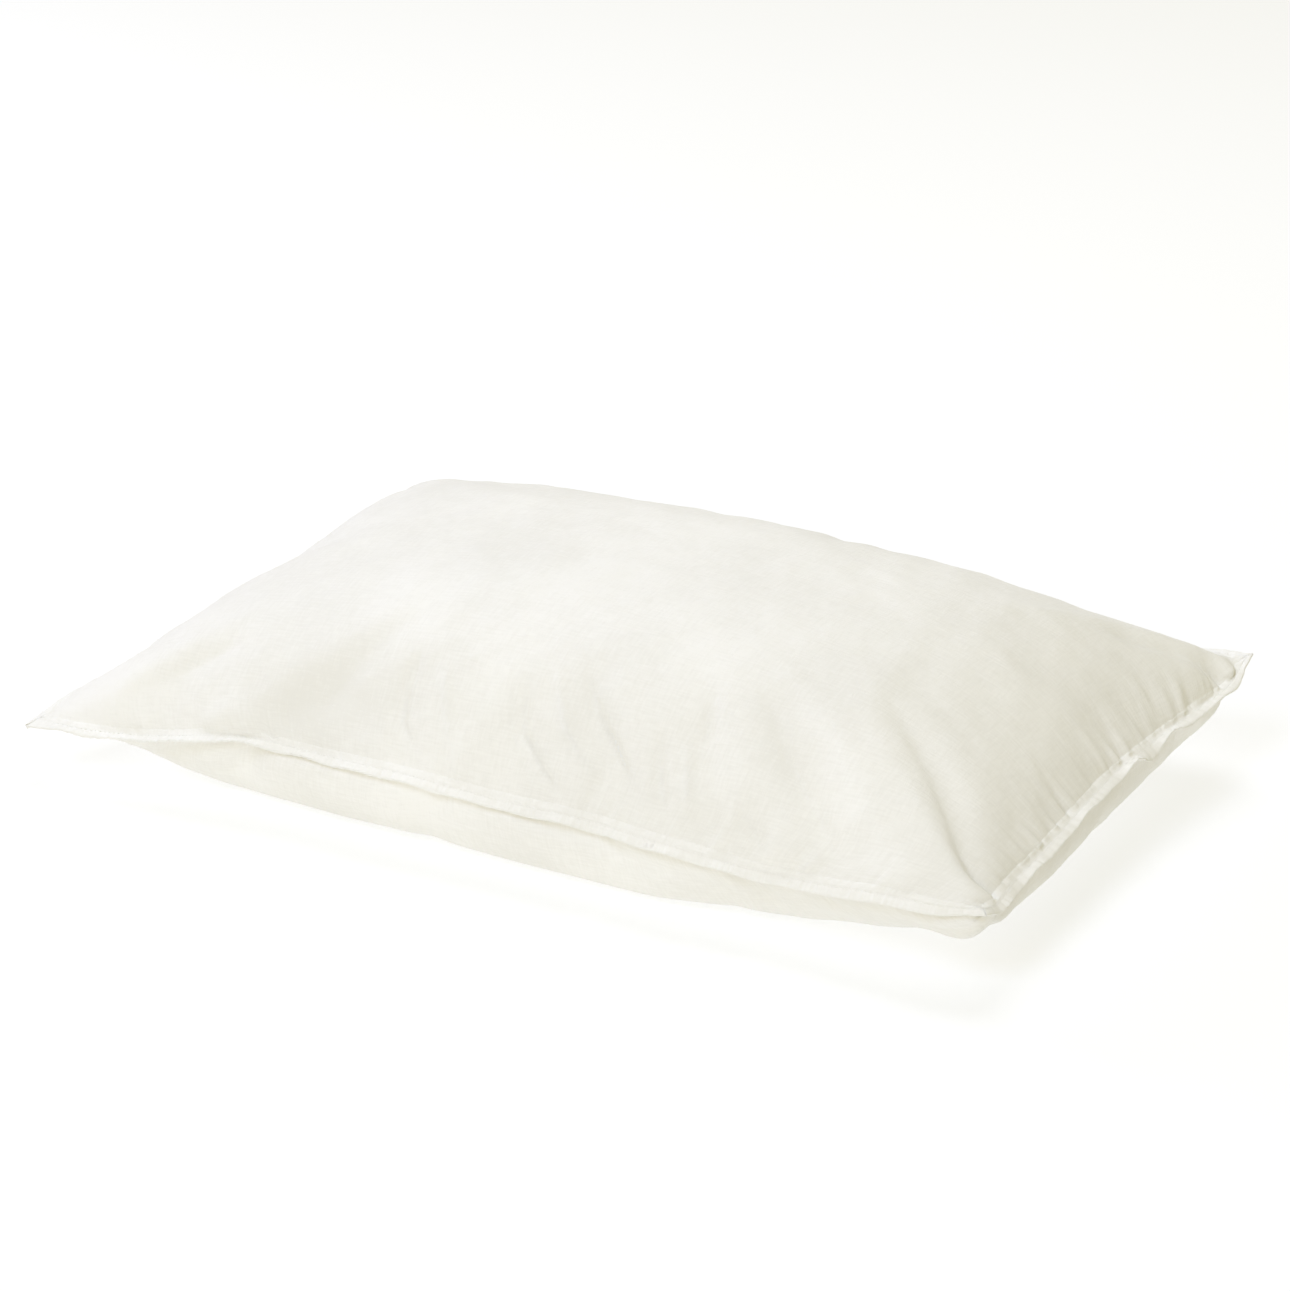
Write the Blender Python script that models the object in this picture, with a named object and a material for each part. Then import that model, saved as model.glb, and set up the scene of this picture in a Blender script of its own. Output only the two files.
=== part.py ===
"""A bed pillow: a cotton case, open at one end behind a tuck-in flap, round a fibre-filled insert.

Lengths are in metres. +X points to the case's sewn-up end, +Z points up, and the origin lies on the bed
under the pillow's centre. Every layer is placed in the same two stretch coordinates: u runs from -1 at the
opening to 1 at the sewn-up end, and v from -1 at the front seam to 1 at the back seam. Layers are told
apart by their depth under the case's outer face, so they nest inside each other.
"""

import math
from collections import namedtuple

import bmesh
import bpy

# The plumped pillow, over everything.
LENGTH = 0.722
WIDTH = 0.455
HEIGHT = 0.165
SEAM_HEIGHT = 0.054

# The case.
CLOTH = 0.0009
SEAM_WIDTH = 0.0085
SEAM_THICKNESS = 0.0018
LIP_THICKNESS = 0.0012
THREAD_RADIUS = 0.00025
SEAM_STITCH_INSET = 0.0018
LIP_STITCH_INSET = 0.0065

# The insert.
INSERT_CLEARANCE = 0.012
PIPING_RADIUS = 0.0018
LABEL_THICKNESS = 0.0005

# The small gaps between neighbouring pieces.
GAP = 0.0003
PANEL_GAP = 0.0004

# Depths under the case's outer face, from the outside in.
FLAP_DEPTH = 0.0015
FLAP_THICKNESS = 0.0008
FLAP_STITCH_DEPTH = 0.00295
CASE_LABEL_DEPTH = 0.0015
INSERT_LABEL_DEPTH = 0.0026
TICKING_DEPTH = 0.0036
TICKING_THICKNESS = 0.0008
FILL_DEPTH = 0.0052

# How the plumped cloth leaves the flat rectangle.
END_BOW = 0.030
SIDE_BOW = 0.080
BULGE_POWER = 0.55
BELLY_DROP = 0.100
RIM_TAPER = 2.5
INSERT_CORNER_PULL = 0.05
CORNER_PULL_POWER = 8

# The grid that all layers share, and where the small pieces lie in it.
LENGTH_CELLS = 24
WIDTH_CELLS = 16
SEAM_CELLS = 40
FLAP_HEM_START = -0.735
FLAP_HEM_END_LINE = 6
BACKTACK_SPAN = (0.312, 0.334)
BACKTACK_INSETS = (0.0032, 0.0080)
BACKTACK_THICKNESS = 0.0005

TOP = 1
BOTTOM = -1

Form = namedtuple("Form", "half_length half_width corner_pull")
CASE = Form(LENGTH / 2 - SEAM_WIDTH, WIDTH / 2 - SEAM_WIDTH, 0.0)
INSERT = Form(
    CASE.half_length - INSERT_CLEARANCE,
    CASE.half_width - INSERT_CLEARANCE,
    INSERT_CORNER_PULL,
)

Cloth = namedtuple("Cloth", "colour roughness")
COTTON = Cloth((0.86, 0.85, 0.79, 1.0), 0.9)
COTTON_THREAD = Cloth((0.90, 0.89, 0.84, 1.0), 0.7)
TICKING = Cloth((0.88, 0.88, 0.86, 1.0), 0.85)
PIPING = Cloth((0.82, 0.82, 0.80, 1.0), 0.6)
FIBRE = Cloth((0.93, 0.93, 0.92, 1.0), 1.0)
SATIN_LABEL = Cloth((0.93, 0.93, 0.93, 1.0), 0.45)


def stations(cells):
    """Grid lines from -1 to 1, closer together towards both seams, where the cloth turns steeply."""
    return [math.sin(math.pi / 2 * (2 * i / cells - 1)) for i in range(cells + 1)]


def evenly(start, end, cells):
    return [start + (end - start) * i / cells for i in range(cells + 1)]


LENGTH_LINES = sorted(stations(LENGTH_CELLS) + [FLAP_HEM_START])
WIDTH_LINES = stations(WIDTH_CELLS)


def plan(form, depth, u, v):
    """Where (u, v) lies on the bed's plane. A negative depth is outside the cloth, on the seam strips."""
    pull = 1 - form.corner_pull * (u * v) ** CORNER_PULL_POWER
    x = (form.half_length - depth) * u * (1 - END_BOW * (1 - v * v)) * pull
    y = (form.half_width - depth) * v * (1 - SIDE_BOW * (1 - u * u)) * pull
    return x, y


def skin_point(form, side, depth, u, v):
    """A point of the layer at this depth, on the top or the bottom of the pillow."""
    x, y = plan(form, depth, u, v)
    swell = max(0.0, (1 - u * u) * (1 - v * v)) ** BULGE_POWER
    sink = depth * min(1.0, RIM_TAPER * swell)
    if side == TOP:
        rim = SEAM_HEIGHT + PANEL_GAP / 2
        return x, y, rim + (HEIGHT - rim) * swell - sink
    rim = SEAM_HEIGHT - PANEL_GAP / 2
    return x, y, max(rim - BELLY_DROP * swell, 0.0) + sink


def new_material(name, cloth):
    material = bpy.data.materials.new(name)
    material.diffuse_color = cloth.colour
    material.use_nodes = True
    shader = material.node_tree.nodes["Principled BSDF"]
    shader.inputs["Base Color"].default_value = cloth.colour
    shader.inputs["Roughness"].default_value = cloth.roughness
    shader.inputs["Metallic"].default_value = 0.0
    return material


def new_object(name, data, cloth):
    made = bpy.data.objects.new(name, data)
    made.data.materials.append(new_material(name, cloth))
    bpy.context.scene.collection.objects.link(made)
    return made


def object_from_bmesh(name, mesh, cloth):
    """The finished solid, with every face turned outwards."""
    bmesh.ops.recalc_face_normals(mesh, faces=mesh.faces)
    if mesh.calc_volume(signed=True) < 0:
        bmesh.ops.reverse_faces(mesh, faces=mesh.faces)
    data = bpy.data.meshes.new(name)
    mesh.to_mesh(data)
    mesh.free()
    data.shade_smooth()
    data.set_sharp_from_angle(angle=math.radians(60))
    return new_object(name, data, cloth)


def add_grid(mesh, rows, us, vs):
    """Two triangles in each cell, parted along the line towards the nearest corner of the pillow."""
    for i in range(len(us) - 1):
        for j in range(len(vs) - 1):
            low, high = rows[i][j], rows[i + 1][j + 1]
            side, other = rows[i + 1][j], rows[i][j + 1]
            if (us[i] + us[i + 1]) * (vs[j] + vs[j + 1]) < 0:
                low, side, high, other = side, high, other, low
            mesh.faces.new((low, side, high))
            mesh.faces.new((low, high, other))


def border(rows):
    """The vertices round the edge of a grid, in order."""
    first, last = rows[0], rows[-1]
    right = [row[-1] for row in rows[1:-1]]
    left = [row[0] for row in rows[1:-1]]
    return first + right + last[::-1] + left[::-1]


def add_wall(mesh, ring, other_ring):
    """Quads between two closed rings of vertices."""
    for i in range(len(ring)):
        mesh.faces.new((ring[i - 1], ring[i], other_ring[i], other_ring[i - 1]))


def add_layer(mesh, form, side, depth, us, vs):
    rows = [[mesh.verts.new(skin_point(form, side, depth, u, v)) for v in vs] for u in us]
    add_grid(mesh, rows, us, vs)
    return border(rows)


def cloth_panel(name, form, side, depth, thickness, us, vs, cloth):
    """A piece of cloth over the grid lines us and vs: two faces and a wall round the edge."""
    mesh = bmesh.new()
    outer = add_layer(mesh, form, side, depth, us, vs)
    inner = add_layer(mesh, form, side, depth + thickness, us, vs)
    add_wall(mesh, outer, inner)
    return object_from_bmesh(name, mesh, cloth)


def filled_cushion(name, form, depth, cloth):
    """A solid that fills everything inside this depth."""
    mesh = bmesh.new()
    above = add_layer(mesh, form, TOP, depth, LENGTH_LINES, WIDTH_LINES)
    below = add_layer(mesh, form, BOTTOM, depth, LENGTH_LINES, WIDTH_LINES)
    add_wall(mesh, above, below)
    return object_from_bmesh(name, mesh, cloth)


# The four edges of the case, each as the (u, v) of a share s from -1 to 1 along it.
def front_edge(s):
    return s, -1


def back_edge(s):
    return s, 1


def closed_end(s):
    return 1, s


def opening(s):
    return -1, s


def outside(edge, inset, s, height):
    """A point this far outside the case's edge, at that height."""
    u, v = edge(s)
    x, y = plan(CASE, -inset, u, v)
    return x, y, height


def flat_strip(name, edge, insets, heights, shares, cloth):
    """A flat strip along an edge of the case, with a rectangular section."""
    near, far = insets
    low, high = heights
    mesh = bmesh.new()
    corners = [(near, low), (near, high), (far, high), (far, low)]
    sections = [[mesh.verts.new(outside(edge, inset, s, z)) for inset, z in corners] for s in shares]
    for before, after in zip(sections, sections[1:]):
        add_wall(mesh, before, after)
    for end in (sections[0], sections[-1]):
        mesh.faces.new(end)
    return object_from_bmesh(name, mesh, cloth)


def cord(name, points, radius, cloth, cyclic=False):
    """A round cord through the points, closed at both ends or joined into a ring."""
    data = bpy.data.curves.new(name, "CURVE")
    data.dimensions = "3D"
    data.bevel_depth = radius
    data.bevel_resolution = 1
    data.use_fill_caps = True
    spline = data.splines.new("POLY")
    spline.points.add(len(points) - 1)
    for point, place in zip(spline.points, points):
        point.co = (*place, 1)
    spline.use_cyclic_u = cyclic
    return new_object(name, data, cloth)


def make_case_panels():
    for name, side in (("case_top_panel", TOP), ("case_bottom_panel", BOTTOM)):
        cloth_panel(name, CASE, side, 0.0, CLOTH, LENGTH_LINES, WIDTH_LINES, COTTON)


def make_tuck_flap():
    """The flap runs in from the opening, between the insert and the top panel, and ends in a turned hem."""
    flap = [u for u in LENGTH_LINES if u < FLAP_HEM_START] + [FLAP_HEM_START - GAP / CASE.half_length]
    hem = [FLAP_HEM_START + GAP / CASE.half_length, stations(LENGTH_CELLS)[FLAP_HEM_END_LINE]]
    for name, lines in (("case_tuck_flap", flap), ("case_flap_hem", hem)):
        cloth_panel(name, CASE, TOP, FLAP_DEPTH, FLAP_THICKNESS, lines, WIDTH_LINES, COTTON)
    middle = sum(hem) / 2
    seam = [skin_point(CASE, TOP, FLAP_STITCH_DEPTH, middle, v) for v in WIDTH_LINES[1:-1]]
    cord("case_flap_stitching", seam, THREAD_RADIUS * 0.8, COTTON_THREAD)


def make_seams():
    """Three sewn edges, each a flat strip of both panels' folded edges, and their stitching."""
    heights = (SEAM_HEIGHT - SEAM_THICKNESS / 2, SEAM_HEIGHT + SEAM_THICKNESS / 2)
    mitre = 2 * GAP / CASE.half_width
    thread_height = heights[1] + GAP + THREAD_RADIUS
    for name, edge, reach in (
        ("case_front", front_edge, 1),
        ("case_back", back_edge, 1),
        ("case_closed_end", closed_end, 1 - mitre),
    ):
        shares = evenly(-reach, reach, SEAM_CELLS)
        flat_strip(name + "_seam", edge, (GAP, SEAM_WIDTH), heights, shares, COTTON)
        line = [outside(edge, SEAM_STITCH_INSET, s, thread_height) for s in shares[1:-1]]
        cord(name + "_stitching", line, THREAD_RADIUS, COTTON_THREAD)
    base = heights[1] + GAP
    tack_heights = (base, base + BACKTACK_THICKNESS)
    tack_shares = evenly(*BACKTACK_SPAN, 2)
    flat_strip("case_seam_backtack", front_edge, BACKTACK_INSETS, tack_heights, tack_shares, COTTON_THREAD)


def make_opening():
    """The top panel's hem and the bottom panel's turned edge lie on each other as two lips, unsewn."""
    mitre = 2 * GAP / CASE.half_width
    shares = evenly(-1 + mitre, 1 - mitre, SEAM_CELLS)
    low = SEAM_HEIGHT - PANEL_GAP / 2
    high = SEAM_HEIGHT + PANEL_GAP / 2
    for name, heights in (
        ("case_opening_hem", (high, high + LIP_THICKNESS)),
        ("case_opening_fold", (low - LIP_THICKNESS, low)),
    ):
        flat_strip(name, opening, (GAP, SEAM_WIDTH), heights, shares, COTTON)
    thread_height = high + LIP_THICKNESS + GAP + THREAD_RADIUS
    line = [outside(opening, LIP_STITCH_INSET, s, thread_height) for s in shares[1:-1]]
    cord("case_opening_stitching", line, THREAD_RADIUS, COTTON_THREAD)


def make_insert():
    for name, side in (("insert_top_ticking", TOP), ("insert_bottom_ticking", BOTTOM)):
        cloth_panel(
            name, INSERT, side, TICKING_DEPTH, TICKING_THICKNESS, LENGTH_LINES, WIDTH_LINES, TICKING
        )
    filled_cushion("insert_fibre_fill", INSERT, FILL_DEPTH, FIBRE)
    around = TICKING_DEPTH - GAP - PIPING_RADIUS
    ring = (
        [(u, -1) for u in LENGTH_LINES]
        + [(1, v) for v in WIDTH_LINES[1:]]
        + [(u, 1) for u in LENGTH_LINES[-2::-1]]
        + [(-1, v) for v in WIDTH_LINES[-2:0:-1]]
    )
    path = [(*plan(INSERT, around, u, v), SEAM_HEIGHT) for u, v in ring]
    cord("insert_piping", path, PIPING_RADIUS, PIPING, cyclic=True)
    closing_depth = TICKING_DEPTH - GAP - THREAD_RADIUS
    closing = [v for v in WIDTH_LINES if abs(v) < 0.5]
    line = [skin_point(INSERT, TOP, closing_depth, LENGTH_LINES[-2], v) for v in closing]
    cord("insert_closing_stitching", line, THREAD_RADIUS, COTTON_THREAD)


def make_labels():
    """Two blank sewn-in labels: the case's inside its front seam, the insert's by its closing."""
    cloth_panel(
        "case_care_label", CASE, BOTTOM, CASE_LABEL_DEPTH, LABEL_THICKNESS,
        LENGTH_LINES[4:6], WIDTH_LINES[1:4], SATIN_LABEL,
    )
    cloth_panel(
        "insert_care_label", INSERT, TOP, INSERT_LABEL_DEPTH, LABEL_THICKNESS,
        LENGTH_LINES[-5:-1], WIDTH_LINES[11:13], SATIN_LABEL,
    )


def main():
    for old in list(bpy.data.objects):
        bpy.data.objects.remove(old)
    make_case_panels()
    make_tuck_flap()
    make_seams()
    make_opening()
    make_insert()
    make_labels()


main()
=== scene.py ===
"""The looks of a bed pillow: a cotton case with sewn edges round a piped, fibre-filled insert.

The case is cut flat and filled by a cloth simulation that is drawn softly towards a plump form. MOVES then
shifts its seam line and corners by set amounts, and small relief is added. Every other layer follows from
the case: the strips and stitches from its seam line, the flap, the labels and the insert from its inside.
Lengths are in metres. u runs from -1 at the open end to 1 at the sewn-up end, and v from -1 at the front seam
to 1 at the back seam, over the flat cloth inside the seams.
"""

import math
from collections import namedtuple

import bpy
import numpy as np
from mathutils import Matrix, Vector


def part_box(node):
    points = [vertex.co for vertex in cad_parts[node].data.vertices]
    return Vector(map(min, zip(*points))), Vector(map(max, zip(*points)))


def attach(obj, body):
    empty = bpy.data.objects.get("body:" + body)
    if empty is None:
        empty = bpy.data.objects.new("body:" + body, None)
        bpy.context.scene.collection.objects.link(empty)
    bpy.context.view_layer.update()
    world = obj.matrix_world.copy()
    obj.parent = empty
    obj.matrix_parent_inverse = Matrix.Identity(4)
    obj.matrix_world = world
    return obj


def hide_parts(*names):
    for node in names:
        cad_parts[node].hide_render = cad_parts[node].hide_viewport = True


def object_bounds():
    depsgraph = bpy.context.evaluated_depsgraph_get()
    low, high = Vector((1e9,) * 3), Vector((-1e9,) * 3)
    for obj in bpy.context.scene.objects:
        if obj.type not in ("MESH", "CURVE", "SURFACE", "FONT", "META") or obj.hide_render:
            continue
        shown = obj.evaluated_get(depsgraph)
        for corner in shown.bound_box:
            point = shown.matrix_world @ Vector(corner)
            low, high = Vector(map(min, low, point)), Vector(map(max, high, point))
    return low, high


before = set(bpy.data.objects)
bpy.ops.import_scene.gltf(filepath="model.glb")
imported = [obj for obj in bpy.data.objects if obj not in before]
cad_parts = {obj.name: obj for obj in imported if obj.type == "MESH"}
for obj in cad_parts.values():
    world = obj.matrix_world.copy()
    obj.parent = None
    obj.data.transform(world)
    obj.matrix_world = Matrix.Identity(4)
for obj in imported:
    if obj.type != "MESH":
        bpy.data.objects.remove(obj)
CAD_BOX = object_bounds()

# Sizes that the CAD gives.
HALF_LENGTH = CAD_BOX[1].x
HALF_WIDTH = CAD_BOX[1].y
HEIGHT = CAD_BOX[1].z
CASE_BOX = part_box("case_top_panel")
SEAM_WIDTH = HALF_LENGTH - CASE_BOX[1].x
SEAM_LOW, SEAM_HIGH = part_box("case_front_seam")
SEAM_THICKNESS = SEAM_HIGH.z - SEAM_LOW.z
SEAM_HEIGHT = (SEAM_HIGH.z + SEAM_LOW.z) / 2

# The flat cut of the case inside its seams. The filled case draws in from it.
FLAT_LENGTH = 0.755 - 2 * SEAM_WIDTH
FLAT_WIDTH = 0.50 - 2 * SEAM_WIDTH
CLOTH = 0.0006

# The simulation's grid, length and filling.
CELL = 0.0068
FRAMES = 28
SWELL_FRAMES = 12
PRESSURE = 7.0
STRIP_ROWS = 2
SEED = 7

CLOTH_SETTINGS = {
    "quality": 6, "mass": 0.05, "air_damping": 2.0,
    "tension_stiffness": 40.0, "compression_stiffness": 40.0, "shear_stiffness": 10.0,
    "bending_stiffness": 0.2, "tension_damping": 5.0, "compression_damping": 5.0,
    "shear_damping": 5.0, "bending_damping": 0.5, "use_pressure": True,
    "uniform_pressure_force": PRESSURE, "vertex_group_pressure": "press",
    "vertex_group_mass": "pin", "pin_stiffness": 0.3,
}

# How firmly each part of the case keeps to its plump form while the filling presses.
CLOTH_HOLD = 0.05
FOLD_HOLD = 0.25
SEAM_HOLD = 0.3

# How the simulated seam line is evened, in passes, and how far the cloth follows it.
SEAM_BLUR = 14
SEAM_FOLLOW = 0.02

# Small relief on the cloth.
FOLD_CREST = 0.8
CRUMPLE_DEPTH = 0.00032
PUCKER_DEPTH = 0.0005
PUCKER_LENGTH = 0.009
PUCKER_REACH = 0.012
CREASE_DEPTH = 0.0017
CREASE_COUNT = 50
CREASE_SHARE_BELOW = 0.15

# The seam strips. A strip leaves the seam at these angles to the level, at even steps from its first corner
# to its last. Its outer edge waves up and down, and it narrows to these shares of its width at its corners.
Edge = namedtuple("Edge", "angles wave corners")
EDGES = {
    "front": Edge((-5, -14, -34, -46, -46, -50), 0.0012, (1.0, 0.5)),
    "closed_end": Edge((-50, -14, -4, -8, 0, 8), 0.0032, (0.5, 0.45)),
    "back": Edge((8, -10, -10, -10, -10, 5), 0.0012, (0.45, 0.5)),
    "opening": Edge((5, -70, -70, -70, -70, -60), 0.0006, (0.5, 1.0)),
}
PATH_STEP = 0.0009
SHOULDER = 0.004
CORNER_REACH = 0.018

# The sewing.
STITCH_SHARE = 0.21
STITCH_PITCH = 0.0027
LIP_STITCH = 0.0021
LIP_HEIGHT = 0.0012
LIP_LIFT = 0.0008
THREAD = 0.00022

# The insert, as shares of the case's size.
INSERT_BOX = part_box("insert_top_ticking")
INSERT_LENGTH_SHARE = INSERT_BOX[1].x / CASE_BOX[1].x
INSERT_WIDTH_SHARE = INSERT_BOX[1].y / CASE_BOX[1].y
INSERT_THICKNESS_SHARE = 0.94
FILL_DEPTH = 0.0016

# How the seam leaves the plain rectangle, in the goal form and in the flat one.
END_BOW = 0.02
SIDE_BOW = 0.08
GATHER = 0.05
GATHER_REACH = 0.03
CLOSED_END_TAPER = 0.09
OPEN_END_TAPER = 0.04

# Where the seam line goes on from the simulated one: at a place (u, v) it moves this far in x, y and z, and
# the move fades out over its reach along u and v in metres. The corners, which the filling can't reach,
# stand out as ears. A move with a side is for the top panel, 1, or the bottom one, -1, and leaves the seam.
Move = namedtuple("Move", "u v by reach side", defaults=(0,))
MOVES = (
    Move(-1.0, -1.0, (-0.020, -0.007, -0.008), (0.030, 0.030)),
    Move(1.0, 1.0, (0.006, 0.012, 0.009), (0.030, 0.024)),
    Move(-1.0, 1.0, (-0.018, 0.002, 0.005), (0.030, 0.030)),
    Move(1.0, -1.0, (0.006, 0.000, -0.001), (0.030, 0.030)),
    Move(1.0, 0.1, (-0.006, 0.0, 0.002), (0.040, 0.130)),
    Move(-0.85, -1.0, (0.0, 0.0, -0.006), (0.035, 0.030)),
    Move(-0.55, -1.0, (0.0, 0.0, 0.009), (0.070, 0.030)),
    Move(-0.25, -1.0, (0.0, 0.0, 0.007), (0.070, 0.030)),
    Move(0.15, -1.0, (0.0, 0.0, 0.003), (0.070, 0.030)),
    Move(0.60, -1.0, (0.0, 0.0, -0.006), (0.060, 0.030)),
    Move(0.90, 0.80, (0.002, 0.002, 0.007), (0.045, 0.045), 1),
    Move(0.90, -0.15, (0.009, 0.0, 0.0), (0.050, 0.110), -1),
    Move(0.90, -0.86, (0.012, -0.010, -0.008), (0.042, 0.042), -1),
)

# The top panel's soft folds: the line of each in (u, v), its height and its width. They guide the
# simulation, and are sharpened after it. The bottom panel's are added after it.
Fold = namedtuple("Fold", "path height width")
FOLDS = (
    Fold(((-0.62, -0.66), (-0.82, -0.88)), -0.003, 0.009),
    Fold(((-0.38, -0.76), (-0.44, -0.88)), -0.003, 0.009),
    Fold(((-0.24, -0.63), (-0.25, -0.74), (-0.24, -0.84), (-0.20, -0.92)), -0.0045, 0.007),
    Fold(((-0.18, -0.66), (-0.12, -0.90)), 0.003, 0.007),
    Fold(((-0.01, -0.66), (0.01, -0.81), (0.07, -0.90), (0.12, -0.95)), -0.0045, 0.007),
    Fold(((0.04, -0.62), (0.10, -0.78), (0.20, -0.92)), 0.004, 0.007),
    Fold(((0.09, -0.58), (0.15, -0.72), (0.20, -0.80), (0.27, -0.90)), -0.004, 0.007),
    Fold(((0.28, -0.72), (0.31, -0.85), (0.36, -0.95)), -0.004, 0.007),
    Fold(((0.33, -0.72), (0.39, -0.93)), 0.0035, 0.007),
    Fold(((0.34, -0.56), (0.37, -0.76)), -0.003, 0.007),
    Fold(((0.43, -0.52), (0.54, -0.72), (0.62, -0.82), (0.69, -0.94)), -0.005, 0.009),
    Fold(((0.48, -0.87), (0.56, -0.95)), -0.003, 0.007),
    Fold(((0.56, -0.34), (0.78, -0.62), (0.97, -0.90)), 0.007, 0.016),
    Fold(((0.70, -0.42), (0.84, -0.62), (0.94, -0.76)), -0.0022, 0.016),
)
FOLDS_BELOW = (
    Fold(((-0.10, -0.97), (0.18, -0.90), (0.46, -0.80)), 0.0014, 0.010),
    Fold(((0.02, -0.98), (0.30, -0.91), (0.58, -0.80)), -0.0012, 0.009),
    Fold(((0.52, -0.97), (0.74, -0.92), (0.90, -0.84)), 0.0010, 0.010),
    Fold(((-0.88, -0.97), (-0.66, -0.90), (-0.42, -0.84)), 0.0010, 0.009),
)


def smooth(x):
    """0 below 0, 1 above 1, and an even turn between."""
    x = min(1.0, max(0.0, x))
    return x * x * (3 - 2 * x)


# ---------------------------------------------------------------- the simulated case


def seam_height(u, v):
    """How high the seam lies. It rises towards the back corner of the sewn-up end."""
    return SEAM_HEIGHT + 0.007 * u + 0.005 * v + 0.004 * max(0.0, u * v) ** 2 * (1 if u > 0 else -1)


def fold_at(u, v):
    """The height that the folds start with at (u, v), and how near the closest fold is, from 0 to 1."""
    scale = Vector((FLAT_LENGTH / 2, FLAT_WIDTH / 2))
    here = Vector((u, v)) * scale
    height, nearness = 0.0, 0.0
    for fold in FOLDS:
        corners = [Vector(corner) * scale for corner in fold.path]
        gaps = []
        for k, (start, end) in enumerate(zip(corners, corners[1:])):
            share = min(1.0, max(0.0, (here - start).dot(end - start) / (end - start).length_squared))
            gaps.append(((here - start.lerp(end, share)).length, (k + share) / (len(corners) - 1)))
        gap, along = min(gaps)
        profile = math.exp(-((gap / fold.width) ** 2)) * (0.25 + 0.75 * math.sin(math.pi * along) ** 0.7)
        height += fold.height * profile
        nearness = max(nearness, profile)
    return height, nearness


def flat_point(u, v, outside, side):
    """Where a point of the case lies before it is filled. Gathered seams are a little shorter."""
    near_end = max(0.0, 1 - (1 - abs(u)) * FLAT_LENGTH / 2 / GATHER_REACH)
    near_side = max(0.0, 1 - (1 - abs(v)) * FLAT_WIDTH / 2 / GATHER_REACH)
    taper = CLOSED_END_TAPER * smooth((u - 0.2) / 0.8) + OPEN_END_TAPER * smooth((-u - 0.2) / 0.8)
    x = u * (FLAT_LENGTH / 2 + outside) * (1 - GATHER * near_side)
    y = v * (FLAT_WIDTH / 2 + outside) * (1 - GATHER * near_end) * (1 - taper)
    swell = max(0.0, (1 - u * u) * (1 - v * v))
    return x, y, SEAM_HEIGHT + side * 0.004 * swell**0.5


def plump_point(u, v, outside, side):
    """Where the filled case's form would put that point, which the simulation starts from and corrects."""
    x = (HALF_LENGTH - SEAM_WIDTH + outside) * u * (1 - END_BOW * (1 - v * v))
    y = (HALF_WIDTH - SEAM_WIDTH + outside) * v * (1 - SIDE_BOW * (1 - u * u))
    swell = max(0.0, (1 - u * u) * (1 - v * v))
    rim = seam_height(u, v)
    if side > 0:
        height = fold_at(u, v)[0]
        forward = 0.6 * height * smooth((-v - 0.3) / 0.5)
        return x, y - forward, rim + (HEIGHT - rim) * swell**0.6 + 0.8 * height
    if side < 0:
        return x, y, rim - (rim - 0.004) * min(1.0, 1.6 * swell**0.44)
    return x, y, rim


def ring_lines(us, vs):
    """The (u, v) of the seam line's points, from the front's left corner round to the start."""
    front = [(u, -1.0) for u in us[:-1]]
    closed_end = [(1.0, v) for v in vs[:-1]]
    back = [(u, 1.0) for u in us[:0:-1]]
    opening = [(-1.0, v) for v in vs[:0:-1]]
    return front + closed_end + back + opening


def seam_move(u, v, side):
    """How far a point goes along with the moves near it."""
    total = np.zeros(3)
    gap = min((1 - abs(u)) * FLAT_LENGTH / 2, (1 - abs(v)) * FLAT_WIDTH / 2)
    for move in MOVES:
        along, across = (u - move.u) * FLAT_LENGTH / 2, (v - move.v) * FLAT_WIDTH / 2
        share = math.exp(-((along / move.reach[0]) ** 2) - (across / move.reach[1]) ** 2)
        if move.side:
            share *= 1 - math.exp(-((gap / 0.012) ** 2)) if side == move.side else 0.0
        total += share * np.array(move.by)
    return total


class FlatCase:
    """The case's mesh: two panels that share the seam line, and the strip outside it."""

    def __init__(self):
        self.us = np.linspace(-1, 1, round(FLAT_LENGTH / CELL) + 1)
        self.vs = np.linspace(-1, 1, round(FLAT_WIDTH / CELL) + 1)
        self.places = []
        self.faces = []
        across, along = len(self.vs), len(self.us)
        self.top = np.zeros((along, across), int)
        self.bottom = np.zeros((along, across), int)
        for i, u in enumerate(self.us):
            for j, v in enumerate(self.vs):
                edge = i in (0, along - 1) or j in (0, across - 1)
                self.top[i, j] = self.add(u, v, 0.0, 0 if edge else 1)
                self.bottom[i, j] = self.top[i, j] if edge else self.add(u, v, 0.0, -1)
        for i in range(along - 1):
            for j in range(across - 1):
                a, b = self.top, self.bottom
                self.faces.append((a[i, j], a[i + 1, j], a[i + 1, j + 1], a[i, j + 1]))
                self.faces.append((b[i, j], b[i, j + 1], b[i + 1, j + 1], b[i + 1, j]))
        self.panel_count = len(self.places)
        ring = ring_lines(self.us, self.vs)
        self.rims = [edge_ring(self.top)]
        for row in range(1, STRIP_ROWS + 1):
            outside = SEAM_WIDTH * row / STRIP_ROWS
            self.rims.append([self.add(u, v, outside, 0) for u, v in ring])
            near, far = self.rims[-2:]
            for k in range(len(ring)):
                m = (k + 1) % len(ring)
                self.faces.append((near[k], near[m], far[m], far[k]))

    def add(self, u, v, outside, side):
        self.places.append((u, v, outside, side))
        return len(self.places) - 1


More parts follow.
